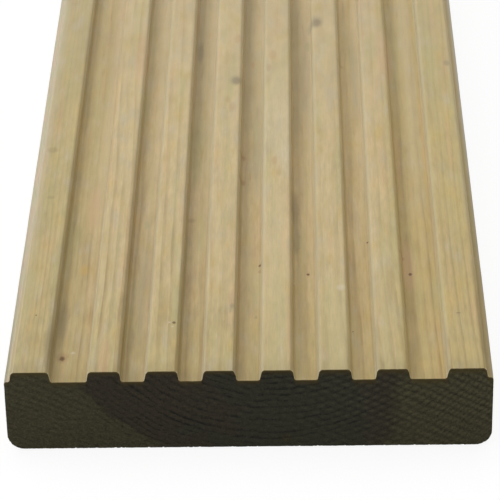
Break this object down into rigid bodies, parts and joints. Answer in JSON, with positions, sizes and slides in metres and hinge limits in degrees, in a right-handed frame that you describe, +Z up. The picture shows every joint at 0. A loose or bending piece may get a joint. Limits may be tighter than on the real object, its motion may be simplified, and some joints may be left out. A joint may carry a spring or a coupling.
{
  "type": "decking board",
  "caption": "Softwood decking board with lengthwise drainage grooves between flat-topped ridges, rebated upper edges and rounded lower edges, laid across joists as a walking surface.",
  "frame": {"origin": "middle of the underside, halfway along the board", "axes": "+X across the board, +Y along the grain and away from the end that faces the camera, +Z up out of the grooved face"},
  "size_m": [0.144, 1.8, 0.027],
  "materials": {
    "treated_pine": "planed, with sawn ends"
  },
  "bodies": {
    "root": {"decking_board": "treated_pine"}
  },
  "joints": []
}
